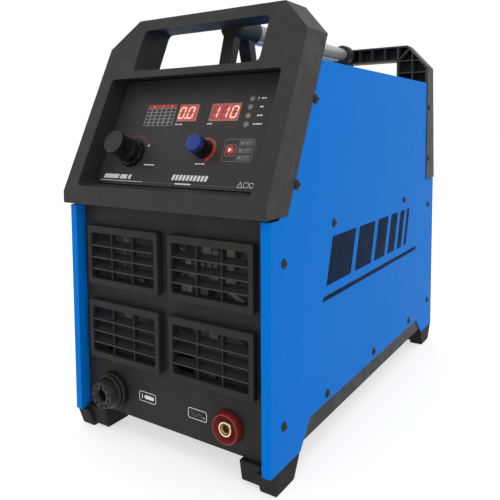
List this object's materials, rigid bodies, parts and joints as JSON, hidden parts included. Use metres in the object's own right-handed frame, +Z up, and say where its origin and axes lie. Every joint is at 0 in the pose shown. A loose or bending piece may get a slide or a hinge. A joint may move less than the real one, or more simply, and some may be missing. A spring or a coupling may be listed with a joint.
{
  "type": "plasma cutter unit",
  "caption": "Tall sheet-steel power source between moulded end frames, with a leaning control panel, front louvres, torch and earth sockets, and a tube carrying handle.",
  "frame": {"origin": "middle of the whole unit's footprint, at floor level under the feet", "axes": "+X to the right seen from the front, +Y from the front to the back, +Z up"},
  "size_m": [0.303, 0.6236, 0.5445],
  "materials": {
    "blue_paint": "semi-gloss",
    "grey_paint": "fine texture",
    "frame_plastic": "fine moulded grain",
    "panel_plastic": "matt",
    "fascia_film": "matt printed film",
    "black_plastic": "satin",
    "rubber": "matt",
    "steel_tube": "satin",
    "display_red": "gloss window",
    "lamp_clear": "gloss",
    "blue_cap": "satin",
    "red_button": "satin",
    "red_plastic": "satin",
    "brass": "machined",
    "steel": "zinc plated",
    "aluminium": "extruded",
    "copper": "enamelled winding",
    "ferrite": "matt",
    "board_green": "solder mask",
    "hose_blue": "satin"
  },
  "bodies": {
    "case": {"air_hose": "hose_blue", "air_inlet": "brass", "air_regulator": "aluminium", "base_tray": "grey_paint", "cable_gland": "black_plastic", "capacitor_bank": "black_plastic", "control_board": "board_green", "control_panel": "fascia_film", "current_display": "display_red", "earth_socket_body": "red_plastic", "earth_socket_insert": "brass", "earth_stud": "steel", "fan_guard": "black_plastic", "fan_housing": "black_plastic", "foot_front_left": "rubber", "foot_front_right": "rubber", "foot_rear_left": "rubber", "foot_rear_right": "rubber", "front_frame": "frame_plastic", "front_panel": "panel_plastic", "handle_front_bracket": "frame_plastic", "handle_rear_collar": "frame_plastic", "handle_strap": "steel_tube", "handle_tube": "steel_tube", "heatsink_left": "aluminium", "heatsink_right": "aluminium", "internal_deck": "steel", "louvre_lower_left": "panel_plastic", "louvre_lower_right": "panel_plastic", "louvre_upper_left": "panel_plastic", "louvre_upper_right": "panel_plastic", "main_board": "board_green", "mode_lamps": "lamp_clear", "output_choke": "copper", "power_switch_housing": "black_plastic", "pressure_display": "display_red", "pressure_knob_nut": "black_plastic", "rear_frame": "frame_plastic", "rear_panel": "grey_paint", "side_panel_left": "blue_paint", "side_panel_right": "blue_paint", "solenoid_valve": "brass", "status_lamps": "lamp_clear", "top_cover": "blue_paint", "torch_socket_body": "black_plastic", "torch_socket_contact": "brass", "torch_socket_nut": "black_plastic", "transformer_core": "ferrite", "transformer_winding": "copper"},
    "pressure_knob": {"pressure_knob": "black_plastic"},
    "current_knob": {"current_knob": "black_plastic", "current_knob_cap": "blue_cap"},
    "mode_button": {"mode_button": "red_button"},
    "power_switch_lever": {"power_switch_lever": "black_plastic"},
    "fan_rotor": {"fan_rotor": "black_plastic"}
  },
  "joints": [
    {"name": "pressure_knob_turn", "type": "hinge", "parent": "case", "child": "pressure_knob", "pos_m": [-0.0805, -0.25761, 0.3605], "axis": [0, -0.9026, 0.4305], "continuous": true},
    {"name": "current_knob_turn", "type": "hinge", "parent": "case", "child": "current_knob", "pos_m": [0.0314, -0.25489, 0.3662], "axis": [0, -0.9026, 0.4305], "range_deg": [-135, 135]},
    {"name": "mode_button_press", "type": "slide", "parent": "case", "child": "mode_button", "axis": [0, 0.9026, -0.4305], "range_m": [0, 0.001], "stiffness_N_per_m": 400, "springref_m": -0.0005},
    {"name": "power_switch_throw", "type": "hinge", "parent": "case", "child": "power_switch_lever", "pos_m": [0.085, 0.2788, 0.24], "axis": [1, 0, 0], "range_deg": [-56, 0]},
    {"name": "fan_spin", "type": "hinge", "parent": "case", "child": "fan_rotor", "pos_m": [-0.045, 0.2568, 0.175], "axis": [0, 1, 0], "continuous": true}
  ]
}
